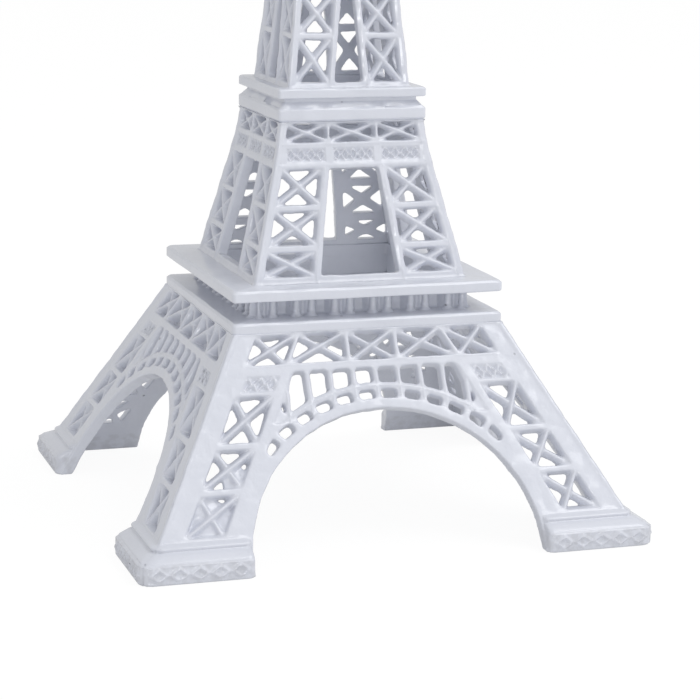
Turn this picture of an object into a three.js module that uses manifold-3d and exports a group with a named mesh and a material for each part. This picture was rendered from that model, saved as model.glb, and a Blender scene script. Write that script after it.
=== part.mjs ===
// Miniature lattice tower: a white-enamelled zinc souvenir, four-sided, standing on four splayed feet.
// Every face of every tier is one flat casting, mitred to its neighbours at the corners. Rings and
// slabs part the tiers, and a lantern, a cupola and a mast close the top.
// Millimetres, +Z up, origin at the centre of the footprint, on the surface that the tower stands on.

import * as THREE from 'three';
import { mergeVertices } from 'three/addons/utils/BufferGeometryUtils.js';
import Module from 'manifold-3d';

const wasm = await Module();
wasm.setup();

// ---- Driving dimensions ----
const seamGap = 0.3; // between castings that meet on a mitre
const seatGap = 0.05; // between castings that stand on each other

// Heights of the levels, from the surface upwards.
const ledgeBottom = 39.7;
const galleryBottom = 41.7;
const deckBottom = 45.65;
const deckTop = 47.8;
const corniceBottom = 77.4;
const secondDeckBottom = 81.9;
const secondDeckTop = 83.7;
const thirdPlatformBottom = 209.6;
const lanternBottom = 218.4;
const cupolaBottom = 224;
const mastBottom = 229.4;
const height = 250;

// Half widths, from the axis to a face.
const baseHalf = 50;
const ledgeHalf = 26.65;
const galleryHalf = 20.6;
const pilasterHalf = 21.9; // to the face of the gallery's columns
const wellHalf = 18.6; // the square well through the first platform
const secondHalf = 14.65;
const secondWellHalf = 10.2;

// A face leans in, so its half width falls with height: [z, half width] at each bend.
const lowerFace = [[0, 48.92], [ledgeBottom, 26.55]];
const middleFace = [[deckTop, 20.95], [71.5, 15.15], [corniceBottom, 14.2]];
const spireFoot = 12.07;
const spireEnd = 0.8; // the half width that the spire tends to
const spireDecay = 0.010115;

// Thickness of each tier's castings, measured level.
const lowerThickness = 2.6;
const middleThickness = 2.2;
const upperThickness = 1.8;

// First gallery: small columns in pairs.
const columnPairs = 6;
const columnPitch = 7.6;
const pairHalf = 1.4;
const columnWidth = 1.1;

// Feet.
const footInner = 28.4; // from the axis to the foot's inner end
const plinthDepth = 5.2;
const plinthFaceTop = 3.6;
const plinthTop = 6.6;

// Lower face: a band of crosses, a solid belt, the arch with two rows of cells, and three crosses a leg.
const legBorder = 4.8;
const legRail = 12.6; // from the outer edge to the middle of the leg's inner rail
const railWidth = 1.5;
const legCells = [[7.0, 13.3], [14.7, 20.6], [22.0, 29.2]];
const bandCells = [34.8, 39.2];
const bandPost = 4.8;
const beltBottom = 33.0;
const archCentre = 1.9; // along the slope
const archRadius = 28.2;
const archRim = 2.1;
const smallCellDepth = 1.7;
const archRing = 1.4;
const smallCellStep = 8.2; // degrees
const smallCells = 5; // whole ones on each side of the middle
const archBar = 1.3;
const archPost = 4.45;
const tallCells = 3; // whole ones on each side of the middle

// Middle face: a sill, three crosses a leg beside a tapering gap, a frieze and a band of crosses.
const middleCells = [[49.2, 53.4], [54.9, 60.9], [62.3, 68.6]];
const middleBand = [74.0, 76.9];
const middleGap = [[49.2, 7.7], [68.7, 4.8]];
const middleBorder = 1.8;
const middlePost = 4.8;
const latticeBar = 1.5;

// Spire face: the heights of its cross bars, the gap between its two columns and its borders.
const spireBars = [
  84.0, 93.3, 101.6, 109.6, 117.3, 124.7, 131.9, 142.5, 152.5, 162, 171, 179.5, 187.5, 195, 202, 208.9,
];
const spireBarHalf = 0.65;
const singleCellsFrom = 6; // rows from here up have one cross, not two
const openRows = 3; // rows with a gap between the two columns
const joinedRows = 2; // of those, the rows with no bar across the gap
const spireGapFoot = 2.8;
const spireGapSlope = 0.095;
const spireBorder = 1.5;
const singleBorder = 1.3;
const spireStrut = 1.15;
const topHalf = 5.7; // the third platform

const enamel = { color: 0xdfe2ec, roughness: 0.3, metalness: 0.0 };

// ---- Helpers ----
const halfAt = (face, z) => {
  const i = face.findIndex((level, k) => k + 1 >= face.length - 1 || z < face[k + 1][0]);
  const [[z0, h0], [z1, h1]] = [face[i], face[i + 1]];
  return h0 + ((h1 - h0) * (z - z0)) / (z1 - z0);
};

const toSolid = (geometry) => {
  const bare = geometry.index ? geometry.clone() : geometry;
  bare.deleteAttribute('normal');
  bare.deleteAttribute('uv');
  const merged = mergeVertices(bare, 1e-4);
  return new wasm.Manifold(new wasm.Mesh({
    numProp: 3,
    vertProperties: new Float32Array(merged.attributes.position.array),
    triVerts: new Uint32Array(merged.index.array),
  }));
};

const toGeometry = (solid) => {
  const mesh = solid.getMesh();
  const geometry = new THREE.BufferGeometry();
  geometry.setAttribute('position', new THREE.BufferAttribute(new Float32Array(mesh.vertProperties), 3));
  geometry.setIndex(new THREE.BufferAttribute(new Uint32Array(mesh.triVerts), 1));
  geometry.computeVertexNormals();
  return geometry;
};

const joinAll = (solids) => solids.reduce((whole, piece) => whole.add(piece));

const outlineOf = (points) => new THREE.Shape(points.map(([x, y]) => new THREE.Vector2(x, y)));

// An outline drawn in x and z, thickened level and leaned so that its front face follows the straight
// line between two [z, half width] points. It may stand proud of both faces by an overrun.
function leanedPrism(outline, line, thickness, overrun = 0) {
  const depth = thickness + 2 * overrun;
  const geometry = new THREE.ExtrudeGeometry(outlineOf(outline), { depth, bevelEnabled: false });
  const place = geometry.attributes.position;
  for (let i = 0; i < place.count; i += 1) {
    const z = place.getY(i);
    place.setXYZ(i, place.getX(i), thickness + overrun - place.getZ(i) - halfAt(line, z), z);
  }
  return toSolid(geometry);
}

// A leaned plate with openings cut through it.
function leanedLattice(outline, holes, line, thickness) {
  const cutters = holes.map((points) => leanedPrism(points, line, thickness, 1));
  return leanedPrism(outline, line, thickness).subtract(joinAll(cutters));
}

// The quarter of the plan that one face owns, up to the mitre planes at its two corners.
function quarter(bottom, top) {
  const reach = baseHalf * 1.5;
  const tip = -seamGap / Math.SQRT2;
  const plan = outlineOf([[0, tip], [-reach, tip - reach], [reach, tip - reach]]);
  const geometry = new THREE.ExtrudeGeometry(plan, { depth: top - bottom, bevelEnabled: false });
  geometry.translate(0, 0, bottom);
  return toSolid(geometry);
}

// Where the lines a-b and c-d cross.
function crossing([ax, ay], [bx, by], [cx, cy], [dx, dy]) {
  const [ux, uy, vx, vy] = [bx - ax, by - ay, dx - cx, dy - cy];
  const t = ((cx - ax) * vy - (cy - ay) * vx) / (ux * vy - uy * vx);
  return [ax + ux * t, ay + uy * t];
}

// The line a-b moved to its left by an offset.
function beside([ax, ay], [bx, by], offset) {
  const length = Math.hypot(bx - ax, by - ay);
  const [nx, ny] = [(-(by - ay) / length) * offset, ((bx - ax) / length) * offset];
  return [[ax + nx, ay + ny], [bx + nx, by + ny]];
}

// The four openings that two crossed bars leave in a four-cornered cell, corners anticlockwise.
function crossHoles(corners, bar) {
  const [first, second, third, fourth] = corners;
  const centre = crossing(first, third, second, fourth);
  return corners.map((start, k) => {
    const end = corners[(k + 1) % 4];
    const [a, b] = beside(start, centre, -bar / 2);
    const [c, d] = beside(end, centre, bar / 2);
    return [crossing(start, end, a, b), crossing(start, end, c, d), crossing(a, b, c, d)];
  });
}

const mirrored = (points) => points.map(([x, z]) => [-x, z]).reverse();
const bothSides = (holes) => [...holes, ...holes.map(mirrored)];

// A cell between two heights whose sides follow two functions of height.
const cell = (bottom, top, inner, outer) => [
  [inner(bottom), bottom], [outer(bottom), bottom], [outer(top), top], [inner(top), top],
];

// A square ring or block turned from a closed [half width, z] profile.
function squareTurned(profile) {
  const points = profile.map(([half, z]) => new THREE.Vector2(half * Math.SQRT2, z));
  const geometry = new THREE.LatheGeometry(points, 4, Math.PI / 4);
  geometry.rotateX(Math.PI / 2);
  return geometry;
}

// A round piece turned from a [radius, z] profile.
function turned(profile, segments) {
  const points = profile.map(([radius, z]) => new THREE.Vector2(radius, z));
  const geometry = new THREE.LatheGeometry(points, segments);
  geometry.rotateX(Math.PI / 2);
  return geometry;
}

const tower = new THREE.Group();

function addPiece(name, geometry, turns = 0) {
  const mesh = new THREE.Mesh(geometry, new THREE.MeshStandardMaterial(enamel));
  mesh.name = name;
  mesh.rotation.z = (turns * Math.PI) / 2;
  tower.add(mesh);
}

const sides = ['front', 'right', 'back', 'left'];
const addFaces = (name, geometry) => sides.forEach((side, k) => addPiece(`${name}_${side}`, geometry, k));

// ---- Lower panels: legs, arch and belt with a half plinth at each end ----
const lowerOuter = (z) => halfAt(lowerFace, z);
const slope = Math.cos(Math.atan((lowerFace[0][1] - lowerFace[1][1]) / ledgeBottom));
const rimOuter = archRadius + archRim;
const ringInner = rimOuter + smallCellDepth;
const ringOuter = ringInner + archRing;

// A point on the face at a radius and an angle from the top of the arch, in x and z.
const onArch = (radius, degrees) => {
  const angle = THREE.MathUtils.degToRad(degrees);
  return [radius * Math.sin(angle), (archCentre + radius * Math.cos(angle)) * slope];
};
const ringHeight = (x) => (archCentre + Math.sqrt(ringOuter ** 2 - x ** 2)) * slope;
const legOuter = (z) => lowerOuter(z) - legBorder;
const legInner = (z) => lowerOuter(z) - legRail + railWidth / 2;
const railArchSide = (z) => legInner(z) - railWidth;

// The row of small cells around the arch's rim: whole ones, then one that comes to a point.
function smallArchHoles() {
  const barAngle = THREE.MathUtils.radToDeg(archBar / 2 / ringInner);
  const whole = Array.from({ length: smallCells }, (_, k) => {
    const from = k * smallCellStep + barAngle;
    const to = (k + 1) * smallCellStep - barAngle;
    return [onArch(rimOuter, from), onArch(rimOuter, to), onArch(ringInner, to), onArch(ringInner, from)];
  });
  const from = smallCells * smallCellStep + barAngle;
  const [tip, shoulder] = [51, 47];
  const last = [
    onArch(rimOuter, from), onArch(rimOuter, tip), onArch(ringInner, shoulder), onArch(ringInner, from),
  ];
  return [...whole, last];
}

// The row of cells between the arch's ring and the belt, with a tall one and a small corner at each end.
function tallArchHoles() {
  const half = archBar / 2;
  const whole = Array.from({ length: tallCells }, (_, k) => {
    const left = k * archPost + half;
    const right = (k + 1) * archPost - half;
    return [[left, ringHeight(left)], [right, ringHeight(right)], [right, beltBottom], [left, beltBottom]];
  });
  const left = tallCells * archPost + half;
  const [lowest, bend, tip] = [16.4, [18.0, 28.4], 30];
  const end = [
    [left, ringHeight(left)], [lowest, ringHeight(lowest)], bend,
    [railArchSide(tip) - 0.1, tip], [railArchSide(beltBottom), beltBottom], [left, beltBottom],
  ];
  const cornerFoot = 20.2;
  const corner = [[18.3, 26.5], [cornerFoot, ringHeight(cornerFoot) + 0.3], [19.5, 27.5]];
  return [...whole, end, corner];
}

function lowerHoles() {
  const half = railWidth / 2;
  const [low, high] = bandCells;
  const postSide = () => bandPost - half;
  const bays = [[legInner, legOuter], [() => bandPost + half, railArchSide]];
  const band = bays.flatMap(([inner, outer]) => crossHoles(cell(low, high, inner, outer), latticeBar));
  const middleBay = crossHoles(cell(low, high, () => -postSide(), postSide), latticeBar);
  const legs = legCells.flatMap(([foot, top]) => crossHoles(cell(foot, top, legInner, legOuter), latticeBar));
  return [...middleBay, ...bothSides([...legs, ...band, ...smallArchHoles(), ...tallArchHoles()])];
}

function lowerOutline() {
  const margin = 3; // trimmed off by the mitre
  const footRight = lowerOuter(0) + margin;
  const topRight = lowerOuter(ledgeBottom) + margin;
  const archSteps = 28;
  const springing = 86; // degrees from the top of the arch
  const step = (2 * springing) / archSteps;
  const arch = Array.from({ length: archSteps + 1 }, (_, k) => onArch(archRadius, k * step - springing));
  return [
    [-footRight, 0], [-footInner, 0], ...arch, [footInner, 0],
    [footRight, 0], [topRight, ledgeBottom], [-topRight, ledgeBottom],
  ];
}

// The half of a foot's plinth that belongs to one panel, on its right (1) or its left (-1).
function halfPlinth(side) {
  const back = plinthDepth - baseHalf;
  const [shoulder, shoulderHeight] = [46.2, 5.9];
  const profile = [
    [-baseHalf, 0], [back, 0], [back + 0.6, plinthTop],
    [1 - shoulder, plinthTop], [-shoulder, shoulderHeight], [-baseHalf, plinthFaceTop],
  ];
  const depth = baseHalf + 1 - footInner;
  const geometry = new THREE.ExtrudeGeometry(outlineOf(profile), { depth, bevelEnabled: false });
  const place = geometry.attributes.position;
  for (let i = 0; i < place.count; i += 1) {
    place.setXYZ(i, place.getZ(i) + footInner, place.getX(i), place.getY(i));
  }
  if (side < 0) geometry.translate(-depth - 2 * footInner, 0, 0);
  return toSolid(geometry);
}

const lowerPlate = leanedLattice(lowerOutline(), lowerHoles(), lowerFace, lowerThickness);
const lowerPanel = joinAll([lowerPlate, halfPlinth(1), halfPlinth(-1)]);
addFaces('lower_panel', toGeometry(lowerPanel.intersect(quarter(0, ledgeBottom - seatGap))));

// ---- First platform: ledge, arcade gallery and deck slab around a square well ----
const ledgeEdge = 0.5; // the width of the chamfer
addPiece('first_ledge', squareTurned([
  [wellHalf, ledgeBottom], [ledgeHalf, ledgeBottom], [ledgeHalf, galleryBottom - ledgeEdge],
  [ledgeHalf - ledgeEdge, galleryBottom], [wellHalf, galleryBottom], [wellHalf, ledgeBottom],
]));

// A plain wall with pairs of small columns standing proud of it.
function galleryRing() {
  const low = galleryBottom + seatGap;
  const high = deckBottom - seatGap;
  const wall = toSolid(squareTurned([
    [wellHalf, low], [galleryHalf, low], [galleryHalf, high], [wellHalf, high], [wellHalf, low],
  ]));
  const bite = 0.4; // how far a column reaches into the wall
  const depth = pilasterHalf - galleryHalf + bite;
  const centres = Array.from({ length: columnPairs }, (_, k) => (k - (columnPairs - 1) / 2) * columnPitch);
  const places = centres.flatMap((x) => [x - pairHalf, x + pairHalf]);
  const columns = sides.flatMap((_, turn) => places.map((x) => {
    const box = new THREE.BoxGeometry(columnWidth, depth, high - low);
    box.translate(x, depth / 2 - pilasterHalf, (low + high) / 2);
    box.rotateZ((turn * Math.PI) / 2);
    return toSolid(box);
  }));
  return toGeometry(joinAll([wall, ...columns]));
}
addPiece('first_gallery', galleryRing());

const deckEdge = 0.4;
addPiece('first_deck', squareTurned([
  [wellHalf, deckBottom], [ledgeHalf - deckEdge, deckBottom], [ledgeHalf, deckBottom + deckEdge],
  [ledgeHalf, deckTop - deckEdge], [ledgeHalf - deckEdge, deckTop], [wellHalf, deckTop],
  [wellHalf, deckBottom],
]));

// ---- Middle panels: two legs beside a tapering gap, a frieze and a band of crosses ----
// A flat stretch of face between two heights, wide enough for the mitre to trim.
function stretch(outer, bottom, top) {
  const margin = 2;
  return [
    [-outer(bottom) - margin, bottom], [outer(bottom) + margin, bottom],
    [outer(top) + margin, top], [-outer(top) - margin, top],
  ];
}

function middlePanel() {
  const outer = (z) => halfAt(middleFace, z);
  const edge = (z) => outer(z) - middleBorder;
  const inner = (z) => halfAt(middleGap, z) + middleBorder;
  const bend = middleFace[1][0];
  const foot = deckTop + seatGap;
  const top = corniceBottom - seatGap;
  const legs = middleCells.flatMap(([low, high]) => crossHoles(cell(low, high, inner, edge), latticeBar));
  const [[gapLow, gapFoot], [gapHigh, gapHead]] = middleGap;
  const gap = [[-gapFoot, gapLow], [gapFoot, gapLow], [gapHead, gapHigh], [-gapHead, gapHigh]];
  const lowerHalf = stretch(outer, foot, bend);
  const lower = leanedLattice(lowerHalf, [gap, ...bothSides(legs)], middleFace.slice(0, 2), middleThickness);
  const half = railWidth / 2;
  const [low, high] = middleBand;
  const sideBay = crossHoles(cell(low, high, () => middlePost + half, edge), latticeBar);
  const centreBay = crossHoles(cell(low, high, () => half - middlePost, () => middlePost - half), latticeBar);
  const crosses = [...centreBay, ...bothSides(sideBay)];
  const upper = leanedLattice(stretch(outer, bend, top), crosses, middleFace.slice(1), middleThickness);
  return lower.add(upper).intersect(quarter(foot, top));
}
addFaces('middle_panel', toGeometry(middlePanel()));

// ---- Second platform: a moulded cornice under a thin slab, around a smaller well ----
const grooveHalf = secondHalf - 1.4;
const corniceTop = secondDeckBottom - seatGap;
const slabEdge = 0.3;
addPiece('second_cornice', squareTurned([
  [secondWellHalf, corniceBottom], [secondHalf - 0.5, corniceBottom], [secondHalf, corniceBottom + 0.6],
  [secondHalf, corniceBottom + 2.3], [secondHalf - 0.6, corniceBottom + 2.7],
  [grooveHalf, corniceBottom + 3.7], [grooveHalf, corniceTop], [secondWellHalf, corniceTop],
  [secondWellHalf, corniceBottom],
]));
addPiece('second_deck', squareTurned([
  [secondWellHalf, secondDeckBottom], [secondHalf - slabEdge, secondDeckBottom],
  [secondHalf, secondDeckBottom + slabEdge], [secondHalf, secondDeckTop - slabEdge],
  [secondHalf - slabEdge, secondDeckTop], [secondWellHalf, secondDeckTop],
  [secondWellHalf, secondDeckBottom],
]));

// ---- Upper panels: the spire's four faces, two columns of crosses that merge into one ----
const spireHalf = (z) => spireEnd + (spireFoot - spireEnd) * Math.exp(-spireDecay * (z - secondDeckTop));
const spireGap = (z) => spireGapFoot - spireGapSlope * (z - spireBars[0]);
const lastRow = spireBars.length - 2;

// The gap between the two columns in one row; it runs on through the bar between two joined rows.
function spireSlot(k, low, high) {
  const overrun = spireBarHalf + 0.01;
  const bottom = k > 0 && k < joinedRows ? low - overrun : low;
  const top = k < joinedRows - 1 ? high + overrun : high;
  return [
    [-spireGap(bottom), bottom], [spireGap(bottom), bottom], [spireGap(top), top], [-spireGap(top), top],
  ];
}

function spireRow(k) {
  const bottom = k === 0 ? secondDeckTop + seatGap : spireBars[k];
  const top = k === lastRow ? thirdPlatformBottom - seatGap : spireBars[k + 1];
  const line = [[bottom, spireHalf(bottom)], [top, spireHalf(top)]];
  const outer = (z) => halfAt(line, z);
  const single = k >= singleCellsFrom;
  const edge = (z) => outer(z) - (single ? singleBorder : spireBorder);
  const low = spireBars[k] + spireBarHalf;
  const high = spireBars[k + 1] - spireBarHalf;
  const inner = (z) => (k < openRows ? spireGap(z) + spireBorder : spireBorder / 2);
  const crosses = single
    ? crossHoles(cell(low, high, (z) => -edge(z), edge), spireStrut)
    : bothSides(crossHoles(cell(low, high, inner, edge), spireStrut));
  const slots = k < openRows ? [spireSlot(k, low, high)] : [];
  return leanedLattice(stretch(outer, bottom, top), [...crosses, ...slots], line, upperThickness);
}

const spireRows = spireBars.slice(1).map((_, k) => spireRow(k));
const spireQuarter = quarter(secondDeckTop, thirdPlatformBottom);
addFaces('upper_panel', toGeometry(joinAll(spireRows).intersect(spireQuarter)));

// ---- Top: third platform, lantern, cupola and mast ----
const [galleryFloor, galleryEdge] = [thirdPlatformBottom + 3.0, thirdPlatformBottom + 4.4];
const [cabinWall, cabinRoof] = [4.5, 5.0];
addPiece('third_platform', squareTurned([
  [0, thirdPlatformBottom], [spireHalf(thirdPlatformBottom), thirdPlatformBottom],
  [topHalf, galleryFloor], [topHalf, galleryEdge], [cabinWall, galleryEdge + 0.1],
  [cabinWall, lanternBottom - 1.2], [cabinRoof, lanternBottom - 1.0],
  [cabinRoof, lanternBottom - seatGap], [0, lanternBottom - seatGap],
]));

const [lanternSill, lanternWall, lanternEaves] = [3.4, 2.8, 3.3];
addPiece('lantern', squareTurned([
  [0, lanternBottom], [lanternSill, lanternBottom], [lanternSill, lanternBottom + 0.7],
  [lanternWall, lanternBottom + 0.9], [lanternWall, cupolaBottom - 1.1],
  [lanternEaves, cupolaBottom - 0.8], [lanternEaves, cupolaBottom - seatGap],
  [0, cupolaBottom - seatGap],
]));

const [cupolaRadius, cupolaNeck, cupolaSegments] = [2.9, 1.0, 20];
addPiece('cupola', turned([
  [0, cupolaBottom], [cupolaRadius, cupolaBottom], [cupolaRadius, cupolaBottom + 0.8],
  [2.75, cupolaBottom + 1.9], [2.3, cupolaBottom + 3.1], [1.6, cupolaBottom + 4.1],
  [cupolaNeck, cupolaBottom + 4.7], [cupolaNeck, mastBottom - seatGap], [0, mastBottom - seatGap],
], cupolaSegments));

const [mastFoot, mastKnob, mastSegments] = [1.3, 1.15, 12];
addPiece('mast', turned([
  [0, mastBottom], [mastFoot, mastBottom], [mastFoot, mastBottom + 0.8], [0.75, mastBottom + 1.3],
  [0.62, height - 7], [mastKnob, height - 6.6], [mastKnob, height - 5.8], [0.5, height - 5.3],
  [0.42, height - 1.2], [0.25, height - 0.3], [0, height],
], mastSegments));

export default tower;
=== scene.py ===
import math

import bpy
import numpy as np
from mathutils import Matrix, Vector


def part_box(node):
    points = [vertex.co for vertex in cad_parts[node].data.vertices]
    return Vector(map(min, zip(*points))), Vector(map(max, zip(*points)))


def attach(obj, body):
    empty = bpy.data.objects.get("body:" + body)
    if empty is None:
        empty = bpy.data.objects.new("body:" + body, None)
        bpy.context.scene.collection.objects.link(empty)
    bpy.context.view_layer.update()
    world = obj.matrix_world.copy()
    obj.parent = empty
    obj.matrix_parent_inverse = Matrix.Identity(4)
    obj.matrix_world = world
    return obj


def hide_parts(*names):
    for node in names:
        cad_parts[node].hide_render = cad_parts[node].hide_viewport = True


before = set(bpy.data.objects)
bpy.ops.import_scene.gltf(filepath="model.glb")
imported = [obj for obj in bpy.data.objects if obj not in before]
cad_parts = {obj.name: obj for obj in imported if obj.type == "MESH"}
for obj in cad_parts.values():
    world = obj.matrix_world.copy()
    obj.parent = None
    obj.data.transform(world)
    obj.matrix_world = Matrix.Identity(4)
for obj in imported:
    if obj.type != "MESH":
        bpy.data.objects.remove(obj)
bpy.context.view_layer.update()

# ---- Lower faces ----
# Four arched castings in zinc alloy, cast flat in a die, so that every opening has drafted walls.
# They are mitred and soldered along the corners, with half of two plinths cast on to each, and
# the whole tower is dipped in white enamel, which rounds the edges and fills the corners.
MM = 0.001
SIDES = ("front", "right", "back", "left")


def extent(node):
    """The lowest and highest corners of a node, in millimetres."""
    low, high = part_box(node)
    return np.array(low) / MM, np.array(high) / MM


def heights(node):
    """The heights of a node's foot and head, in millimetres."""
    low, high = extent(node)
    return low[2], high[2]


def lower_of(a, b, reach):
    """The lower of two distances, with a fillet of that reach where they meet."""
    overlap = np.maximum(reach - np.abs(a - b), 0)
    return np.minimum(a, b) - overlap * overlap / (4 * reach)


def higher_of(a, b, reach):
    return -lower_of(-a, -b, reach)


def highest_of(parts, reach):
    whole = parts[0]
    for part in parts[1:]:
        whole = higher_of(whole, part, reach)
    return whole


def from_line(x, s, start, end):
    """Distance from the straight line through two points."""
    (ax, ay), (bx, by) = start, end
    return np.abs((x - ax) * (by - ay) - (s - ay) * (bx - ax)) / math.hypot(bx - ax, by - ay)


def from_outline(x, s, corners, reach=0.01):
    """Distance outside a convex outline, its corners anticlockwise."""
    edges = []
    for (ax, ay), (bx, by) in zip(corners, corners[1:] + corners[:1]):
        edges.append(((x - ax) * (by - ay) - (s - ay) * (bx - ax)) / math.hypot(bx - ax, by - ay))
    return highest_of(edges, reach)


class Face:
    """Samples over one leaning face: x across, s up the slope and n out of it, in millimetres."""

    def __init__(self, half, foot, head, depth, cell):
        self.half = half
        self.lean = math.cos(math.atan((half(foot) - half(head)) / (head - foot)))
        margin = 3 * cell
        lift = math.sqrt(1 - self.lean ** 2)
        reach = half(foot) + depth[1] + margin
        self.start = np.array([-reach, (foot - depth[1] * lift - margin) / self.lean, depth[0] - margin])
        stop = np.array([reach, (head - depth[0] * lift + margin) / self.lean, depth[1] + margin])
        self.cell = cell
        counts = np.ceil((stop - self.start) / cell).astype(int) + 1
        grid = [self.start[k] + cell * np.arange(counts[k], dtype=np.float32) for k in range(3)]
        self.x, self.s = grid[0][:, None], grid[1][None, :]
        self.n = grid[2][None, None, :]
        height = self.s[:, :, None] * self.lean
        rise, run = self.tilt(height)
        self.y = -(half(height) + self.n * run)
        self.z = height + self.n * rise

    def tilt(self, height):
        """Sine and cosine of the lean at a height."""
        step = 0.2
        drop = (self.half(height - step) - self.half(height + step)) / (2 * step)
        length = np.hypot(drop, 1)
        return drop / length, 1 / length

    def placed(self, points, normals):
        """Samples' places and normals as places and normals in the tower."""
        height = points[:, 1] * self.lean
        rise, run = self.tilt(height)
        y = -(self.half(height) + points[:, 2] * run)
        z = height + points[:, 2] * rise
        ny = normals[:, 1] * rise - normals[:, 2] * run
        nz = normals[:, 1] * run + normals[:, 2] * rise
        return np.stack([points[:, 0], y, z], 1), np.stack([normals[:, 0], ny, nz], 1)


def skin(field):
    """Points, counted in cells, and quads of the surface where a field of distances is zero."""
    inside = field < 0
    span = [size - 1 for size in field.shape]
    filled = sum(
        inside[i:i + span[0], j:j + span[1], k:k + span[2]].astype(np.int8)
        for i in (0, 1) for j in (0, 1) for k in (0, 1)
    )
    crossed = (filled > 0) & (filled < 8)
    cells = np.argwhere(crossed)
    number = np.full(crossed.shape, -1)
    number[crossed] = np.arange(len(cells))
    total = np.zeros((len(cells), 3))
    hits = np.zeros(len(cells))
    quads = []
    for axis in range(3):
        step = np.eye(3, dtype=int)[axis]
        side, other = np.eye(3, dtype=int)[[(axis + 1) % 3, (axis + 2) % 3]]
        for corner in (0 * side, side, other, side + other):
            a = field[tuple((cells + corner).T)]
            b = field[tuple((cells + corner + step).T)]
            cut = (a < 0) != (b < 0)
            share = a[cut] / (a[cut] - b[cut])
            total[cut] += corner + share[:, None] * step
            hits[cut] += 1
        shorter = [slice(0, -1) if k == axis else slice(None) for k in range(3)]
        later = [slice(1, None) if k == axis else slice(None) for k in range(3)]
        edges = np.argwhere(inside[tuple(shorter)] != inside[tuple(later)])
        ring = [number[tuple((edges - back).T)] for back in (side + other, other, 0 * side, side)]
        ring = np.stack(ring, 1)
        outward = inside[tuple(edges.T)]
        quads.append(np.where(outward[:, None], ring, ring[:, ::-1]))
    return cells + total / hits[:, None], np.concatenate(quads)


def reading(field, points):
    """A field read between its samples."""
    base = np.clip(points.astype(int), 0, np.array(field.shape) - 2)
    part = points - base
    value = 0
    for corner in np.ndindex(2, 2, 2):
        weight = np.prod(np.where(corner, part, 1 - part), axis=1)
        value = value + weight * field[tuple((base + corner).T)]
    return value


def thinned(points, quads, keep):
    """The same surface with fewer faces, as points and triangles."""
    mesh = bpy.data.meshes.new("dense")
    mesh.from_pydata(points.tolist(), [], quads.tolist())
    dense = bpy.data.objects.new("dense", mesh)
    bpy.context.scene.collection.objects.link(dense)
    fewer = dense.modifiers.new("fewer", "DECIMATE")
    fewer.ratio = keep
    light = dense.evaluated_get(bpy.context.evaluated_depsgraph_get()).to_mesh()
    corners = np.zeros(len(light.vertices) * 3)
    light.vertices.foreach_get("co", corners)
    light.calc_loop_triangles()
    faces = np.zeros(len(light.loop_triangles) * 3, int)
    light.loop_triangles.foreach_get("vertices", faces)
    bpy.data.objects.remove(dense)
    bpy.data.meshes.remove(mesh)
    return corners.reshape(-1, 3), faces.reshape(-1, 3)


def cast(face, field, cut, keep):
    """Places, faces and normals of the casting that a field and its cuts describe, set in the tower.
    The normals are the uncut casting's, so the enamel runs on over the soldered corners."""
    points, faces = thinned(*skin(np.maximum(field, cut)), keep)
    probe = 0.6
    slopes = []
    for step in np.eye(3) * probe:
        slopes.append(reading(field, points + step) - reading(field, points - step))
    normals = np.stack(slopes, 1)
    places, normals = face.placed(face.start + points * face.cell, normals)
    tiny = 1e-9
    normals /= np.linalg.norm(normals, axis=1, keepdims=True) + tiny
    return places, faces, normals


def spun(turns, vectors):
    """Vectors turned about the tower's axis by quarter turns."""
    x, y = vectors[:, 0], vectors[:, 1]
    for _ in range(turns):
        x, y = -y, x
    return np.stack([x, y, vectors[:, 2]], 1)


def new_mesh(name, places, faces, normals=None):
    mesh = bpy.data.meshes.new(name)
    mesh.from_pydata((np.array(places) * MM).tolist(), [], [tuple(face) for face in faces])
    mesh.validate()
    mesh.shade_smooth()
    if normals is not None:
        mesh.normals_split_custom_set_from_vertices(normals.tolist())
    return mesh


class Socket:
    """A socket whose arithmetic adds Math nodes to its material."""

    def __init__(self, maker, link):
        self.maker = maker
        self.link = link

    def math(self, operation, a, b=0.0):
        return self.maker.node("ShaderNodeMath", {"operation": operation}, {0: a, 1: b})

    def __add__(self, other):
        return self.math("ADD", self, other)

    def __radd__(self, other):
        return self.math("ADD", other, self)

    def __sub__(self, other):
        return self.math("SUBTRACT", self, other)

    def __rsub__(self, other):
        return self.math("SUBTRACT", other, self)

    def __mul__(self, other):
        return self.math("MULTIPLY", self, other)

    def __rmul__(self, other):
        return self.math("MULTIPLY", other, self)

    def within(self, low, high):
        """0 up to low, 1 from high, and a smooth rise between them."""
        settings = {"interpolation_type": "SMOOTHSTEP"}
        inputs = {"Value": self, "From Min": low, "From Max": high}
        return self.maker.node("ShaderNodeMapRange", settings, inputs)


class Finish:
    """A material under construction."""

    def __init__(self, name):
        self.material = bpy.data.materials.new(name)
        self.material.use_nodes = True
        self.tree = self.material.node_tree
        self.tree.nodes.clear()

    def node(self, kind, settings=None, inputs=None, output=0):
        made = self.tree.nodes.new(kind)
        for name, value in (settings or {}).items():
            setattr(made, name, value)
        for key, value in (inputs or {}).items():
            if isinstance(value, Socket):
                self.tree.links.new(value.link, made.inputs[key])
            else:
                made.inputs[key].default_value = value
        return Socket(self, made.outputs[output]) if made.outputs else None

    def noise(self, place, size, detail=2.0):
        """Cloudy noise whose blobs are about that many millimetres wide."""
        inputs = {"Vector": place, "Scale": 1 / (size * MM), "Detail": detail}
        return self.node("ShaderNodeTexNoise", None, inputs)

    def mixed(self, share, first, second):
        """A colour between two colours."""
        return self.node("ShaderNodeMix", {"data_type": "RGBA"}, {0: share, 6: first, 7: second}, output=2)


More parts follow.
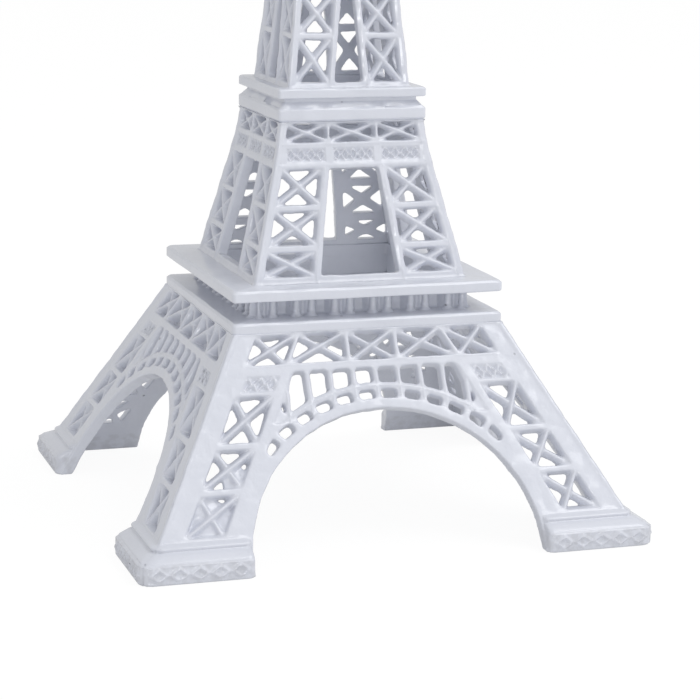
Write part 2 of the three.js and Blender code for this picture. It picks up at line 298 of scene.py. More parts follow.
def white_enamel():
    """Gloss white enamel: a cool white that clouds a little, with a fine orange peel, a few specks
    where it has missed the metal, and greyer blotches towards the foot."""
    cool_white, bright_white = (0.638, 0.66, 0.73, 1), (0.662, 0.682, 0.752, 1)
    dull_white, greyish_white = (0.58, 0.60, 0.68, 1), (0.50, 0.51, 0.55, 1)
    bare_metal = (0.22, 0.23, 0.26, 1)
    speck_spacing, grey_to, white_from = 5.5, 3.5, 4.0
    peel_share, swell_share, pit_share = 0.8, 1.5, 1.5

    finish = Finish("white_enamel")
    place = finish.node("ShaderNodeNewGeometry")
    clouds = finish.noise(place, 14)
    fine = finish.noise(place, 1.6, 3.0)
    peel = finish.noise(place, 0.9, 1.0)
    swell = finish.noise(place, 5.0, 1.0)
    cells = {"Vector": place, "Scale": 1 / (speck_spacing * MM)}
    pits = 1 - finish.node("ShaderNodeTexVoronoi", None, cells).within(0.035, 0.065)
    specks = pits * finish.noise(place, 9).within(0.5, 0.56)
    height = finish.node("ShaderNodeSeparateXYZ", None, {0: place}, output=2)
    # a blotchy mask over the lowest few millimetres above the floor, fading out higher up
    foot_blotches = (1 - height.within(grey_to * MM, white_from * MM)) * fine.within(0.35, 0.65)

    base = finish.mixed(clouds.within(0.35, 0.7), cool_white, bright_white)
    dulled = finish.mixed(fine.within(0.5, 0.8) * 0.25, base, dull_white)
    # the enamel turns greyer in those blotches, darker towards the bottom
    greyed = finish.mixed(foot_blotches * 0.5, dulled, greyish_white)
    specked = finish.mixed(specks * 0.8, greyed, bare_metal)
    relief = peel * peel_share + swell * swell_share - specks * pit_share
    bump = finish.node("ShaderNodeBump", None, {"Strength": 0.8, "Distance": 0.07 * MM, "Height": relief})
    shader = finish.node("ShaderNodeBsdfPrincipled", None, {
        "Base Color": specked,
        "Roughness": 0.26 + fine * 0.16,
        "Normal": bump,
        "Coat Weight": 0.6,
        "Coat Roughness": 0.1,
    })
    finish.node("ShaderNodeOutputMaterial", None, {"Surface": shader})
    return finish.material


enamel = white_enamel()


def add_piece(name, mesh, node, turns=0):
    """One enamelled piece that stands for a node."""
    if not mesh.materials:
        mesh.materials.append(enamel)
    piece = bpy.data.objects.new(name, mesh)
    piece.rotation_euler.z = turns * math.pi / 2
    bpy.context.scene.collection.objects.link(piece)
    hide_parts(node)
    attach(piece, "root")


def add_faces(kind, node, face, field, keep):
    """The same casting on all four sides, one piece a side."""
    mesh = new_mesh(kind, *cast(face, field, mitre(face), keep))
    for turns, side in enumerate(SIDES):
        add_piece(f"{kind}_{side}", mesh, f"{node}_{side}", turns)


def uneven(s, size, seed):
    """A smooth random line along s, between -1 and 1, that changes about every size millimetres."""
    knots = np.arange(s.min(), s.max() + 2 * size, size)
    return np.interp(s, knots, np.random.default_rng(seed).uniform(-1, 1, len(knots))).astype(np.float32)


def blotches(face, size, seed):
    """Smooth random relief over a face, between -1 and 1, of blobs that many millimetres wide."""
    x, s = face.x[:, 0], face.s[0]
    along_x, along_s = np.arange(x[0], x[-1] + size, size), np.arange(s[0], s[-1] + size, size)
    knots = np.random.default_rng(seed).uniform(-1, 1, (len(along_x), len(along_s)))
    near_x = np.clip(1 - np.abs(x[:, None] - along_x) / size, 0, 1)
    near_s = np.clip(1 - np.abs(along_s[:, None] - s) / size, 0, 1)
    return (near_x @ knots @ near_s).astype(np.float32)


def cornered(face, field, bead=0.5, corner_round=0.9):
    """The casting with a rough skin, and with its corners rounded into its neighbours under an
    uneven bead of solder."""
    rough, blob, pimple = 0.085, 2.4, 0.9
    swell, ripple, sunk_in, fillet = 0.17, 0.08, 0.35, 0.5
    field = field + (rough * (blotches(face, blob, 21) + 0.7 * blotches(face, pimple, 22)))[:, :, None]
    across = np.abs(face.x[:, :, None])
    half = face.half(face.z)
    field = higher_of(field, (across - half) * face.lean, corner_round)
    if bead:
        thick = bead + (swell * uneven(face.s, 3.1, 3) + ripple * uneven(face.s, 1.1, 4))[:, :, None]
        core = np.hypot(across - half + sunk_in, face.y + half - sunk_in) - thick
        field = lower_of(field, core, fillet)
    return field


def mitre(face):
    """Distance beyond the mitre planes at both corners; neighbours overlap by a hair."""
    overlap = 0.06
    return (np.abs(face.x[:, :, None]) + face.y) / math.sqrt(2) - overlap


def seated(face, field, foot, head, spread=(0.7, 0.7)):
    """The casting between two levels, with fillets of enamel where it meets its neighbours there."""
    sunk_in, least = 0.1, 0.02
    field = lower_of(field, np.maximum(face.z - foot, 0) + least, spread[0])
    field = lower_of(field, np.maximum(head - face.z, 0) + least, spread[1])
    return np.maximum(np.maximum(field, foot - sunk_in - face.z), face.z - head - sunk_in)


class Lattice:
    """Crossed cells in a face, with the relief that their bars and borders leave on its front."""

    def __init__(self, face, rising_crest, falling_crest):
        self.face = face
        self.crests = (rising_crest, falling_crest)
        shape = np.broadcast(face.x, face.s).shape
        far_off = 9.0
        self.edge = np.full(shape, far_off, np.float32)
        self.rising = np.full(shape, far_off, np.float32)
        self.falling = np.full(shape, far_off, np.float32)
        self.relief = np.zeros(shape, np.float32)

    def cross(self, corners, low=-1.2, slim=0.0):
        """A four-cornered cell, its corners anticlockwise in x and height from the lower left; slim
        is how much further than usual its openings reach."""
        corners = [(px, height / self.face.lean) for px, height in corners]
        x, s = self.face.x, self.face.s
        edge = from_outline(x, s, corners)
        rising = from_line(x, s, corners[0], corners[2])
        falling = from_line(x, s, corners[1], corners[3])
        here = edge - slim < self.edge
        self.edge = np.where(here, edge - slim, self.edge)
        self.rising = np.where(here, rising + slim, self.rising)
        self.falling = np.where(here, falling + slim, self.falling)
        bars = np.maximum(ridged(rising, low, self.crests[0]), ridged(falling, low, self.crests[1]))
        bevel = 0.3
        self.relief = sunk(self.relief, edge - bevel, bars, 1.0)

    def crosses(self, low, high, near, far, slim=0.0):
        """The same cell on both sides, between two heights and two lines of height."""
        corners = [(near(low), low), (far(low), low), (far(high), high), (near(high), high)]
        self.cross(corners, slim=slim)
        mirrored = [(-px, height) for px, height in corners]
        self.cross([mirrored[k] for k in (1, 0, 3, 2)], slim=slim)

    def wall(self, bar, thickness, fillet=0.75):
        """Distance into the openings; they widen towards the front, as the draft of the die."""
        bar_draft, edge_draft, inset = 0.24, 0.14, 0.12
        depth = self.face.n + thickness
        holes = highest_of([self.edge[:, :, None] + inset - edge_draft * depth,
                            (bar / 2 - self.rising)[:, :, None] - bar_draft * depth,
                            (bar / 2 - self.falling)[:, :, None] - bar_draft * depth], fillet)
        return -holes


def sunk(relief, edge, floor, wall):
    """A relief let down to a floor inside an edge."""
    return np.where(edge < 0, np.minimum(relief, np.maximum(floor, wall * edge)), relief)


def ridged(away, low, crest):
    """Height of a bar that comes to a ridge, at a distance from its line."""
    slope, flat = 1.5, 0.2
    return np.maximum(low, crest - slope * np.maximum(away - flat, 0))


def rib(away, width, tall):
    """Height of a low rib, at a distance from its line."""
    return tall * np.clip(1 - away / width, 0, 1)


def lozenges(x, s, left, right, bottom, top, count, tall=0.5):
    """Height of a row of raised lozenge outlines."""
    u = ((x - left) / (right - left) * count) % 1 * 2 - 1
    v = np.clip((2 * s - bottom - top) / (top - bottom), -1, 1)
    size, thick, blunt = 0.8, 0.36, 1.15
    line = np.abs(np.abs(u) + np.abs(v) - size)
    return tall * np.clip(blunt - line / thick, 0, 1)


def frieze(relief, plate, x, s, left, right, bottom, top, count):
    """A relief with a row of lozenges let into it inside a plate."""
    tall, deep, wall = 0.65, 0.75, 1.0
    return sunk(relief, plate, lozenges(x, s, left, right, bottom, top, count, tall) - deep, wall)


LOWER_FOOT, LOWER_DROP = 48.92, 0.56347


def lower_half(z):
    return LOWER_FOOT - LOWER_DROP * z


def plinths(face, thickness):
    """Half of a plinth at each end, with a moulded shoulder and a row of raised lozenges."""
    half, inner_end, head, turn = 50.0, 28.4, 6.8, 2.4
    levels = (0.0, 0.35, 3.6, 3.85, 4.05, 5.0, 5.2, 5.5, 5.95, 6.15, 6.4)
    halves = (49.5, 49.75, 49.75, 49.15, 49.2, 47.3, 46.5, 46.8, 46.75, 46.2, 45.2)
    left, right, bottom, top, count = inner_end + 1.0, half - 1.8, 0.6, 3.35, 5
    proud, deep = 0.85, 0.12
    across = np.abs(face.x[:, :, None])
    shape = np.interp(face.z, levels, halves).astype(np.float32)
    ornament = lozenges(across, face.z, left, right, bottom, top, count)
    on_face = (across > left) & (across < right) & (face.z > bottom) & (face.z < top)
    shape = shape + np.where(on_face, ornament * proud - deep, 0)
    beyond_x = across - (shape - turn)
    beyond_y = -face.y - (shape - turn)
    outside = np.hypot(np.maximum(beyond_x, 0), np.maximum(beyond_y, 0))
    plan = outside + np.minimum(np.maximum(beyond_x, beyond_y), 0) - turn
    block = higher_of(plan, inner_end - across, 1.3)
    block = higher_of(block, -(face.n + thickness), 0.3)
    return higher_of(block, face.z - head, 0.2)


def lower_face():
    thickness, head = 2.27, heights("first_ledge")[0]
    face = Face(lower_half, 0, head, (-3.9, 2.9), 0.25)
    x, s, n = face.x, face.s, face.n
    across = np.abs(x)
    height = s * face.lean
    edge_run = math.cos(math.atan(LOWER_DROP * face.lean))

    border, rail, rail_width, bar = 4.8, 12.6, 1.5, 1.85
    outer = lambda z: lower_half(z) - border
    inner = lambda z: lower_half(z) - rail + rail_width / 2
    arch_side = lambda z: inner(z) - rail_width
    up = lambda z: z / face.lean
    short_of_leg = lambda gap: (across - arch_side(height) + gap) * edge_run

    lattice = Lattice(face, -0.05, -0.5)
    for low, high in ((7.0, 13.3), (14.7, 20.6), (22.0, 29.2)):
        lattice.crosses(low, high, inner, outer)
    band_low, band_high, post, slim = 34.8, 39.2, 4.8, 0.15
    lattice.crosses(band_low, band_high, inner, outer, slim)
    lattice.crosses(band_low, band_high, lambda z: post + rail_width / 2, arch_side, slim)
    near = post - rail_width / 2
    lattice.cross([(-near, band_low), (near, band_low), (near, band_high), (-near, band_high)], slim=slim)
    relief = lattice.relief

    # the arch, its rim and the two rows of cells over it
    centre, radius, belt = 1.9, 28.2, 33.0
    rim, ring_low, ring_high = radius + 2.1, radius + 3.65, radius + 5.3
    strut_step, strut_width = math.radians(8.2), 1.7
    pitch, posts_a_side, post_width = 4.45, 5, 1.4
    small_end, tall_end, fillet = math.radians(49.5), math.radians(33), 0.75
    arc = np.hypot(x, np.maximum(s - centre, 0))
    angle = np.arctan2(across, s - centre)
    struts = np.minimum(angle % strut_step, strut_step - angle % strut_step) * arc
    posts = np.min([np.abs(across - k * pitch) for k in range(posts_a_side)], axis=0)
    small = highest_of([rim - arc, arc - ring_low, strut_width / 2 - struts,
                        (angle - small_end) * arc, short_of_leg(1.3)], fillet)
    tall = highest_of([ring_high - arc, s - up(belt), post_width / 2 - posts,
                       (angle - tall_end) * arc, short_of_leg(1.2)], fillet)
    arch_cells = np.minimum(small, tall)

    # the cells lie in a shallow hollow, with a line over them
    hollow_foot, hollow_floor, crest, slope = 24.5, -0.32, -0.08, 0.8
    hollow = highest_of([rim - arc, s - up(belt), up(hollow_foot) - s, short_of_leg(0.4)], 0.3)
    beside = np.minimum(posts, np.abs(arc - (ring_low + ring_high) / 2))
    relief = sunk(relief, hollow, np.maximum(hollow_floor, crest - slope * beside), 0.8)
    line = 34.35
    clear_of_border = np.clip((outer(line) + 0.3 - across) / 0.6, 0, 1)
    relief = relief + rib(np.abs(s - up(line)), 0.35, 0.16) * clear_of_border

    # lozenges let into the legs under the belt
    frieze_low, frieze_high, in_rail, in_border = 29.9, 32.7, 0.1, 0.5
    bottom, top = up(frieze_low), up(frieze_high)
    for side in (-1, 1):
        corners = [(inner(frieze_low) - in_rail, bottom), (outer(frieze_low) - in_border, bottom),
                   (outer(frieze_high) - in_border, top), (inner(frieze_high) - in_rail, top)]
        plate = from_outline(side * x, s, corners)
        share = (side * x - inner(height) + in_rail) / (rail - rail_width / 2 - border)
        relief = frieze(relief, plate, share, s, 0, 1, bottom, top, 3)

    wall = lattice.wall(bar, thickness)
    arch_draft = 0.1
    wall = np.maximum(wall, -arch_cells[:, :, None] + arch_draft * (n + thickness))
    # a skin of metal left in the lowest cells of the left leg
    web = lower_of(np.hypot(x + 35.5, height - 8.6) - 5.0, np.hypot(x + 29.3, height - 16.0) - 2.5, 2.0)
    web_thick = 0.9 + 0.3 * uneven(s, 1.1, 8) + 0.3 * uneven(x, 1.2, 9)
    web = higher_of(web[:, :, None], n + thickness - web_thick[:, :, None], 0.6)
    wall = lower_of(wall, web, 0.5)
    field = higher_of(wall, n - relief[:, :, None], 0.35)
    field = higher_of(field, (radius - arc)[:, :, None], 0.3)
    field = higher_of(field, -(n + thickness), 0.25)
    field = seated(face, cornered(face, field), -1, head, (0.1, 0.35))
    field = lower_of(field, plinths(face, thickness), 0.2)
    return face, higher_of(field, -face.z, 0.3)


add_faces("lower_face", "lower_panel", *lower_face(), 0.24)

# ---- First platform ----
# Three cast rings around a square well: a ledge, a wall with pairs of small turned columns and
# niches between them, and a deck slab. All are zinc, seated on the faces and enamelled with them.


def rounded(corners, steps=4, support=0.2):
    """A closed outline of (x, y, radius) corners, rounded, with a point beside each end of every arc."""
    points = []
    radii = [corner[2] for corner in corners]
    corners = [Vector(corner[:2]) for corner in corners]
    for k, corner in enumerate(corners):
        back, ahead = corners[k - 1] - corner, corners[(k + 1) % len(corners)] - corner
        half_turn = back.angle(ahead) / 2
        inset = min(radii[k] / math.tan(half_turn), 0.42 * back.length, 0.42 * ahead.length)
        start, stop = corner + back.normalized() * inset, corner + ahead.normalized() * inset
        if min(back.length, ahead.length) > 4 * support + 2 * inset:
            points.append(start + back.normalized() * support)
        for step in range(steps + 1):
            share = step / steps
            points.append(start.lerp(corner, share).lerp(corner.lerp(stop, share), share))
        if min(back.length, ahead.length) > 4 * support + 2 * inset:
            points.append(stop + ahead.normalized() * support)
    return points


def banded(rows, around, bands):
    """Quads of so many bands between rings of points, each ring joined to the next."""
    return [(row * around + k, row * around + (k + 1) % around,
             (row + 1) % rows * around + (k + 1) % around, (row + 1) % rows * around + k)
            for row in range(bands) for k in range(around)]


def square_ring(profile, corner=0.8, wobble=0.022):
    """Places and faces of a moulding with that (half width, height, radius) profile, run round a
    square, with edges that waver a little."""
    section = rounded(profile)
    turns, spans = 6, 36
    across_rows, along_rows = 8 * (1,), 3 * (2,)
    places = []
    for half, height in section:
        for quarter in range(4):
            reach = (half - corner) * math.sqrt(2)
            middle = (quarter + 0.5) * math.pi / 2
            px, py = reach * math.cos(middle), reach * math.sin(middle)
            for step in range(turns + 1):
                angle = (quarter + step / turns) * math.pi / 2
                out_x, out_y = math.cos(angle), math.sin(angle)
                places.append((px + corner * out_x, py + corner * out_y, height, out_x, out_y))
            for step in range(1, spans):
                slide = 2 * (half - corner) * step / spans
                places.append((px + corner * out_x - slide * out_y, py + corner * out_y + slide * out_x,
                               height, out_x, out_y))
    rows, around = len(section), 4 * (turns + spans)
    places = np.array(places)
    waver = np.random.default_rng(31).normal(size=(2, rows, around))
    for axis in across_rows + along_rows:
        waver = waver + np.roll(waver, 1, axis) + np.roll(waver, -1, axis)
    waver = (waver * wobble / waver.std()).reshape(2, -1, 1)
    places = places[:, :3] + places[:, 3:] @ np.eye(2, 3) * waver[0] + waver[1] * (0, 0, 1)
    return places, banded(rows, around, rows)


well_half, platform_half = 18.6, extent("first_deck")[1][0]
ledge_low, ledge_high = heights("first_ledge")
deck_low, deck_high = heights("first_deck")
joint, lip = 0.05, 0.45
add_piece("ledge", new_mesh("ledge", *square_ring([
    (well_half, ledge_low - joint, 0.03), (platform_half, ledge_low, 0.2),
    (platform_half, ledge_high - lip, 0.25), (platform_half - lip, ledge_high, 0.25),
    (well_half, ledge_high + joint, 0.03),
])), "first_ledge")
add_piece("deck", new_mesh("deck", *square_ring([
    (well_half, deck_low - joint, 0.03), (platform_half, deck_low, 0.3),
    (platform_half, deck_high - lip, 0.25), (platform_half - lip, deck_high, 0.25),
    (well_half, deck_high, 0.3),
])), "first_deck")


def four_sided(face, field, keep):
    """One mesh of a casting that stands on all four sides."""
    places, faces, normals = cast(face, field, mitre(face), keep)
    whole = [np.concatenate([spun(turns, part) for turns in range(4)]) for part in (places, normals)]
    faces = np.concatenate([faces + turns * len(places) for turns in range(4)])
    return whole[0], faces, whole[1]


def gallery():
    wall_half = 20.6
    low, high = heights("first_gallery")
    face = Face(lambda z: wall_half + 0 * z, low, high, (well_half - wall_half, 1.9), 0.17)
    pitch, spread = 7.6, 1.5
    beside = np.abs(face.x % pitch - pitch / 2)[:, :, None]
    z, n = face.z, face.n
    niche_half, spring, niche_deep = 1.45, low + 2.6, 1.6
    slot_half, slot_deep, proud = 0.55, 0.5, 0.25
    niche = np.hypot(pitch / 2 - beside, np.maximum(z - spring, 0)) - niche_half
    slot = beside - slot_half
    front = proud - niche_deep * np.clip(-niche / 0.6, 0, 1) - slot_deep * np.clip(-slot / 0.3, 0, 1)
    levels = (low, low + 0.35, low + 0.55, low + 1.0, low + 1.3, high - 0.9, high - 0.6, high - 0.3, high)
    radii = (0.9, 0.9, 0.72, 0.78, 0.66, 0.6, 0.66, 0.85, 0.9)
    column = np.hypot(beside - spread, n - 0.6) - np.interp(z, levels, radii)
    field = higher_of(n - front, well_half - wall_half - n, 0.1)
    field = cornered(face, lower_of(field, column, 0.3), 0, 0.3)
    field = seated(face, field, low, high, (0.6, 0.3))
    return four_sided(face, np.maximum(field, well_half - wall_half - n), 0.4)


add_piece("gallery", new_mesh("gallery", *gallery()), "first_gallery")

# ---- Middle faces ----
# Four castings that lean in to the second platform. Each has two latticed legs beside a tapering
# gap, then a strip of small lozenges and a band of crosses. Here the falling bars lie uppermost.


GAP_DRAFT = 0.06


def middle_half(z):
    return np.interp(z, (40, 71.5, 85), (22.86, 15.15, 12.98))


def gap_strip(x, z, gap):
    """A low rib along both sides of the gap."""
    beyond = 0.95
    return rib(np.abs(np.abs(x) - gap(z) - beyond), 0.45, 0.2)


def middle_face():
    foot, head = deck_high, heights("second_cornice")[0]
    thickness, border, bar = 2.1, 1.8, 1.8
    face = Face(middle_half, foot, head, (-thickness, 0.9), 0.2)
    x, n = face.x, face.n
    height = face.s * face.lean
    outer = lambda z: middle_half(z) - border
    gap_foot, gap_head, gap_wide, gap_narrow = 49.2, 68.7, 7.7, 4.8
    gap = lambda z: np.interp(z, (gap_foot, gap_head), (gap_wide, gap_narrow))

    lattice = Lattice(face, -0.3, -0.05)
    for low, high in ((gap_foot, 53.4), (54.9, 60.9), (62.3, 68.6)):
        lattice.crosses(low, high, lambda z: gap(z) + border, outer)
    band_low, band_high, post, post_width, slim = 74.0, 76.9, 4.8, 1.3, 0.25
    near = post - post_width / 2
    lattice.crosses(band_low, band_high, lambda z: post + post_width / 2, outer, slim)
    lattice.cross([(-near, band_low), (near, band_low), (near, band_high), (-near, band_high)], slim=slim)

    strip_low, strip_high, strip_end, ribs_to = 69.95, 72.65, outer(71) - 0.1, 69.2
    relief = lattice.relief + np.where(height < ribs_to, gap_strip(x, height, gap), 0)
    for left, right, count in ((-strip_end, -near - post_width, 4), (-near, near, 5),
                               (near + post_width, strip_end, 4)):
        corners = [(left, strip_low), (right, strip_low), (right, strip_high), (left, strip_high)]
        plate = from_outline(x, height, corners)
        relief = frieze(relief, plate, x, height, left, right, strip_low, strip_high, count)
    in_border = 1.05
    relief = relief + rib(np.abs(np.abs(x) - middle_half(height) + in_border), 0.35, 0.16)
    for line in (69.35, 73.35):
        relief = relief + rib(np.abs(height - line), 0.4, 0.14)

    corners = [(-gap_wide, gap_foot), (gap_wide, gap_foot), (gap_narrow, gap_head), (-gap_narrow, gap_head)]
    opening = from_outline(x, height, corners, 0.6)
    wall = np.maximum(lattice.wall(bar, thickness), -opening[:, :, None] + GAP_DRAFT * (n + thickness))
    field = cornered(face, higher_of(wall, n - relief[:, :, None], 0.3))
    field = seated(face, field, foot, head)
    return face, higher_of(field, -(n + thickness), 0.2)


add_faces("middle_face", "middle_panel", *middle_face(), 0.3)

# ---- Second platform ----
# A moulded cornice and a thin slab over it, parted by a groove. Two cast rings around a smaller
# well, with their edges softened by the enamel.
second_half, second_well, groove_half = extent("second_deck")[1][0], 10.2, 13.25
cornice_low, cornice_high = heights("second_cornice")
slab_low, slab_high = heights("second_deck")
add_piece("cornice", new_mesh("cornice", *square_ring([
    (second_well, cornice_low - joint, 0.03), (second_half - 0.35, cornice_low, 0.2),
    (second_half, cornice_low + 0.5, 0.25), (second_half, cornice_low + 2.3, 0.3),
    (second_half - 0.5, cornice_low + 2.75, 0.3), (groove_half, cornice_low + 3.75, 0.3),
    (groove_half, cornice_high + joint, 0.03), (second_well, cornice_high + joint, 0.03),
], corner=0.6)), "second_cornice")
add_piece("slab", new_mesh("slab", *square_ring([
    (second_well, slab_low - joint, 0.03), (second_half, slab_low, 0.25),
    (second_half, slab_high - 0.3, 0.2), (second_half - 0.3, slab_high, 0.2),
    (second_well, slab_high, 0.3),
], corner=0.6)), "second_deck")

# ---- Upper faces ----
# Four long castings that make the spire. Two columns of crosses stand beside a narrowing gap and
# run together into one column of crosses higher up.


def spire_half(z):
    return 0.8 + 11.27 * np.exp(-0.010115 * (z - 83.7))


def upper_face():
    foot, head = slab_high, heights("third_platform")[0]
    thickness = 1.75
    face = Face(spire_half, foot, head, (-thickness, 0.8), 0.21)
    x, n = face.x, face.n
    height = face.s * face.lean
    bars = (84, 93.3, 101.6, 109.6, 117.3, 124.7, 131.9, 142.5,
            152.5, 162, 171, 179.5, 187.5, 195, 202, 208.9)
    bar_half, single_from, open_rows = 0.65, 6, 3
    gap = lambda z: 2.8 - 0.095 * (z - bars[0])
    lattice = Lattice(face, -0.25, -0.05)
    for k, (bottom, top) in enumerate(zip(bars[:-1], bars[1:])):
        low, high = bottom + bar_half, top - bar_half
        if k < single_from:
            inner = (lambda z: gap(z) + 1.5) if k < open_rows else (lambda z: 0.75)
            lattice.crosses(low, high, inner, lambda z: spire_half(z) - 1.5)
        else:
            foot_x, head_x = spire_half(low) - 1.3, spire_half(high) - 1.3
            lattice.cross([(-foot_x, low), (foot_x, low), (head_x, high), (-head_x, high)], -0.6)
    slots = []
    for low, high in ((bars[0] + bar_half, bars[2] - bar_half), (bars[2] + bar_half, bars[3] - bar_half)):
        corners = [(-gap(low), low), (gap(low), low), (gap(high), high), (-gap(high), high)]
        slots.append(from_outline(x, height, corners, 0.8))
    slot = np.minimum(*slots)
    beside_slot = (height < bars[open_rows]) & (slot > 0)
    relief = lattice.relief + np.where(beside_slot, gap_strip(x, height, gap), 0)
    bar = np.interp(height, (84, 140, 200), (1.7, 1.3, 1.0))
    wall = np.maximum(lattice.wall(bar, thickness, 0.6),
                      -slot[:, :, None] + GAP_DRAFT * (n + thickness))
    field = cornered(face, higher_of(wall, n - relief[:, :, None], 0.3), 0.38, 0.7)
    field = seated(face, field, foot, head, (0.6, 0.2))
    return face, higher_of(field, -(n + thickness), 0.2)


add_faces("upper_face", "upper_panel", *upper_face(), 0.22)


# ---- Top ----
# A small platform on corbels with a railing and a windowed cabin, a lantern, a ribbed cupola and a
# mast. They are plain castings, stacked on the spire and enamelled with it.


def cast_block(node, wall_half, profile, band, windows, corbels=None):
    """A square block with a (rise above its foot, half width) profile, a band of windows and a row
    of corbels."""
    low, high = heights(node)
    bore, seat = wall_half - 0.4, 0.05
    face = Face(lambda z: wall_half + 0 * z, low, high, (-bore, 2.1), 0.14)
    levels, halves = zip(*profile)
    front = np.interp(face.z, [low + level for level in levels], halves) - wall_half
    x, z = face.x[:, :, None], face.z
    pitch, half_width = windows
    beside = np.abs((x + pitch / 2) % pitch - pitch / 2)
    arched = np.hypot(beside, np.maximum(z - (low + band[1]) + half_width, 0)) - half_width
    window = highest_of([arched, low + band[0] - z, np.abs(x) - wall_half + 0.7], 0.15)
    front = front - 0.5 * np.clip(-window / 0.3, 0, 1)
    if corbels is not None:
        gap, (corbel_low, corbel_high) = corbels
        between = np.abs(np.abs(x % gap - gap / 2) - gap / 2)
        inside = (z > low + corbel_low) & (z < low + corbel_high)
        front = front - np.where(inside, 0.45 * np.clip((between - gap * 0.22) / 0.2, 0, 1), 0)
    field = higher_of(face.n - front, np.abs(x) - wall_half - front, 0.25)
    field = higher_of(higher_of(field, low - seat - z, 0.1), z - high - seat, 0.1)
    return four_sided(face, np.maximum(field, -bore - face.n), 0.35)


platform = cast_block(
    "third_platform", 4.5,
    [(0, 3.95), (0.5, 4.1), (2.6, 5.5), (3.0, 5.7), (3.3, 5.7), (3.4, 5.5), (4.1, 5.5), (4.2, 5.7),
     (4.4, 5.7), (4.6, 4.6), (4.8, 4.5), (7.6, 4.5), (7.8, 5.0), (8.3, 5.0), (8.8, 4.5)],
    (5.2, 7.2), (1.7, 0.55), (1.15, (0.4, 4.1)))
add_piece("platform", new_mesh("platform", *platform), "third_platform")

lantern = cast_block(
    "lantern", 2.8,
    [(0, 3.4), (0.7, 3.4), (1.0, 2.8), (4.7, 2.8), (5.0, 3.3), (5.6, 3.1)],
    (1.4, 4.2), (1.9, 0.6))
add_piece("lantern", new_mesh("lantern", *lantern), "lantern")


def lathed(profile, ribs=0, swell=0.0):
    """Places and faces of a turned shape with that (radius, height, rounding) profile from foot to
    head."""
    around, least_radius = 64, 0.05
    outline = rounded([(0, profile[0][1], 0)] + profile + [(0, profile[-1][1], 0)])
    outline = [point for point in outline if point.x > least_radius]
    rows = len(outline)
    places = []
    for radius, height in outline:
        for k in range(around):
            angle = k / around * 2 * math.pi
            reach = radius * (1 + swell * max(math.cos(ribs * angle), 0) ** 3)
            places.append((reach * math.cos(angle), reach * math.sin(angle), height))
    faces = banded(rows, around, rows - 1)
    faces.append(tuple(reversed(range(around))))
    faces.append(tuple(range((rows - 1) * around, rows * around)))
    return places, faces


dome_low, dome_high = heights("cupola")[0], heights("mast")[0]
dome_half, neck, collar, neck_rise, dome_foot = 2.9, 1.0, 0.3, 1.2, 0.7
dome_rise = dome_high - dome_low - neck_rise
bow = [(neck + (dome_half - neck) * math.cos(turn),
        dome_low + dome_foot + (dome_rise - 0.9) * math.sin(turn), 0.1)
       for turn in (0.15, 0.4, 0.65, 0.9, 1.15, 1.4)]
skirt = [(dome_half, dome_low - joint, 0.1), (dome_half, dome_low + 0.5, 0.15),
         (dome_half - 0.15, dome_low + 0.6, 0.05)]
knob = [(neck, dome_high - neck_rise, 0.1), (neck + collar, dome_high - 0.9, 0.15),
        (neck + collar, dome_high - 0.6, 0.15), (neck, dome_high - 0.3, 0.1),
        (neck, dome_high + joint, 0.02)]
cupola = lathed(skirt + bow + knob, ribs=8, swell=0.05)
add_piece("cupola", new_mesh("cupola", *cupola), "cupola")

mast_low, mast_high = heights("mast")
mast = lathed([
    (1.3, mast_low, 0.2), (1.3, mast_low + 0.8, 0.3), (0.7, mast_low + 1.4, 0.3),
    (0.6, mast_low + 5.5, 0.2), (1.15, mast_low + 6.0, 0.3), (1.15, mast_low + 6.6, 0.3),
    (0.55, mast_low + 7.1, 0.2), (0.45, mast_low + 13.0, 0.2), (0.75, mast_low + 13.3, 0.2),
    (0.75, mast_low + 13.8, 0.2), (0.4, mast_low + 14.1, 0.2), (0.3, mast_high - 0.4, 0.2),
    (0.1, mast_high, 0.1),
])
add_piece("mast", new_mesh("mast", *mast), "mast")

# ---- Stage ----
# A plain pale floor that shows white, with a soft key light from the right, a weak light in front
# and a pale surround. The camera looks at the left corner of the front, from a little above.


def camera_of(place, heading, dip, roll, lens):
    data = bpy.data.cameras.new("camera")
    data.lens = lens
    camera = bpy.data.objects.new("camera", data)
    forward = Vector((math.sin(heading) * math.cos(dip), math.cos(heading) * math.cos(dip), -math.sin(dip)))
    level = Vector((math.cos(heading), -math.sin(heading), 0))
    upright = level.cross(forward)
    right = math.cos(roll) * level + math.sin(roll) * upright
    up = -math.sin(roll) * level + math.cos(roll) * upright
    camera.matrix_world = Matrix.Translation(place) @ Matrix((right, up, -forward)).transposed().to_4x4()
    bpy.context.scene.collection.objects.link(camera)
    bpy.context.scene.camera = camera


camera_of(place=Vector((-137.665, -436.336, 129.791)) * MM, heading=math.radians(18.083),
          dip=math.radians(12.305), roll=math.radians(0.826), lens=120.51)


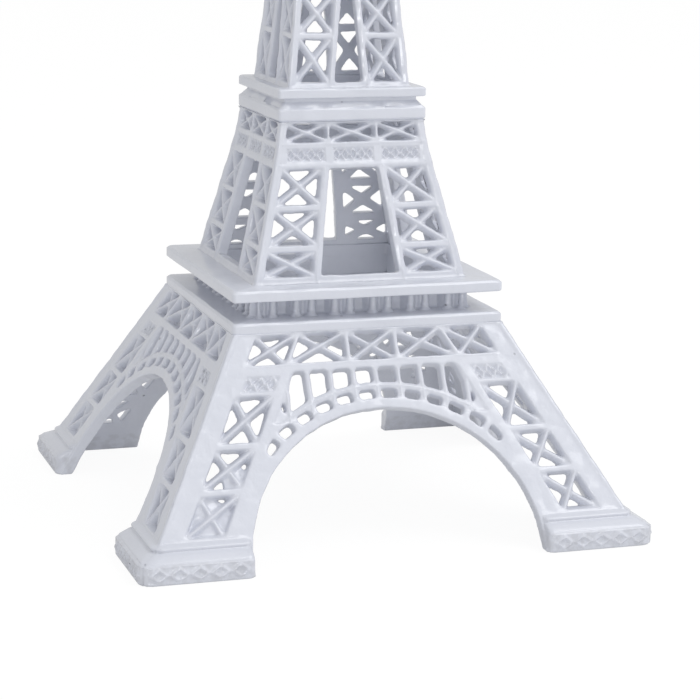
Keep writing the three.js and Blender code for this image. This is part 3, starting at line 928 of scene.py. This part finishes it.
def soft_light(name, place, aim, size, power):
    data = bpy.data.lights.new(name, "AREA")
    data.size = size
    data.energy = power
    light = bpy.data.objects.new(name, data)
    light.location = place
    light.rotation_euler = (Vector(aim) - Vector(place)).to_track_quat("-Z", "Y").to_euler()
    bpy.context.scene.collection.objects.link(light)


soft_light("key", place=(0.62, -0.42, 1.05), aim=(0, 0, 0.07), size=0.8, power=6.0)
soft_light("fill", place=(-0.2, -1.1, 0.2), aim=(0, 0, 0.06), size=0.22, power=1.7)

reach, seen_white, white_share = 4, 1.05, 0.86
ends = [(-reach, -reach, 0), (reach, -reach, 0), (reach, reach, 0), (-reach, reach, 0)]
floor_mesh = bpy.data.meshes.new("floor")
floor_mesh.from_pydata(ends, [], [(0, 1, 2, 3)])
floor = bpy.data.objects.new("floor", floor_mesh)
pale = Finish("pale_floor")
board = pale.node("ShaderNodeBsdfPrincipled", None, {
    "Base Color": (0.62, 0.62, 0.62, 1),
    "Roughness": 0.9,
    "Emission Color": (1, 1, 1, 1),
    "Emission Strength": 0.18,
})
glow = pale.node("ShaderNodeEmission", None, {"Color": (1, 1, 1, 1), "Strength": seen_white})
seen = pale.node("ShaderNodeLightPath") * white_share
shown = pale.node("ShaderNodeMixShader", None, {0: seen, 1: board, 2: glow})
pale.node("ShaderNodeOutputMaterial", None, {"Surface": shown})
floor_mesh.materials.append(pale.material)
bpy.context.scene.collection.objects.link(floor)

surround_light = 0.7
world = bpy.data.worlds.new("studio")
world.use_nodes = True
tree = world.node_tree
background = tree.nodes["Background"]
background.inputs["Color"].default_value = (1, 1, 1, 1)
brightness = tree.nodes.new("ShaderNodeMapRange")
brightness.inputs["To Min"].default_value = surround_light
brightness.inputs["To Max"].default_value = seen_white
light_path = tree.nodes.new("ShaderNodeLightPath")
tree.links.new(light_path.outputs["Is Camera Ray"], brightness.inputs["Value"])
tree.links.new(brightness.outputs["Result"], background.inputs["Strength"])
bpy.context.scene.world = world
bpy.context.scene.view_settings.view_transform = "Standard"
